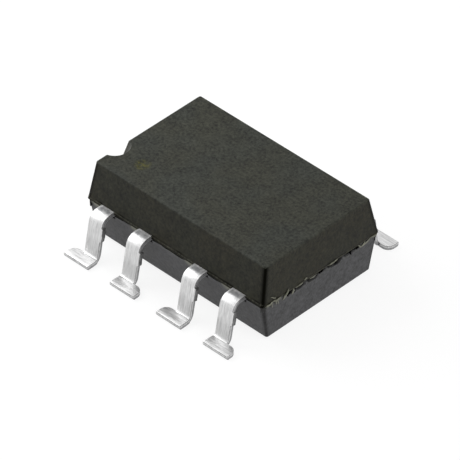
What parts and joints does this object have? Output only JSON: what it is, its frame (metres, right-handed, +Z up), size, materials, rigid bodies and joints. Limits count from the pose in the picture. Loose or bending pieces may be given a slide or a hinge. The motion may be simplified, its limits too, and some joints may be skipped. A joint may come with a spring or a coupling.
{
  "type": "surface-mount dual-in-line chip package",
  "caption": "Small moulded black chip package with an end notch, a dot by the first lead, and gull-wing leads along both long sides for soldering to a board.",
  "frame": {"origin": "on the board, under the middle of the package, in the plane of the solder feet's soles", "axes": "+Z up from the board; +X along the casing, away from the notched end; the first row of leads, numbered 1 to 4 from the notch, is towards -Y"},
  "size_m": [0.0098, 0.0096, 0.0036],
  "materials": {
    "casing": "fine matte moulding compound, slightly olive on the upper half",
    "lead_tin": "bright matte tin plate with fine drawing lines, sheared ends",
    "emitter_die": "polished semiconductor die with a sawn edge",
    "detector_die": "polished semiconductor die with a sawn edge",
    "silver_adhesive": "silver-filled adhesive",
    "gold_wire": "smooth drawn gold wire",
    "clear_silicone": "clear soft silicone"
  },
  "bodies": {
    "root": {"package_body": "casing", "lead_1": "lead_tin", "lead_2": "lead_tin", "lead_3": "lead_tin", "lead_4": "lead_tin", "lead_5": "lead_tin", "lead_6": "lead_tin", "lead_7": "lead_tin", "lead_8": "lead_tin", "emitter_die_a": "emitter_die", "emitter_bond_a": "silver_adhesive", "emitter_wire_a": "gold_wire", "emitter_die_b": "emitter_die", "emitter_bond_b": "silver_adhesive", "emitter_wire_b": "gold_wire", "detector_die_a": "detector_die", "detector_bond_a": "silver_adhesive", "detector_wire_a": "gold_wire", "detector_die_b": "detector_die", "detector_bond_b": "silver_adhesive", "detector_wire_b": "gold_wire", "coupling_dome_a": "clear_silicone", "coupling_dome_b": "clear_silicone"}
  },
  "joints": []
}
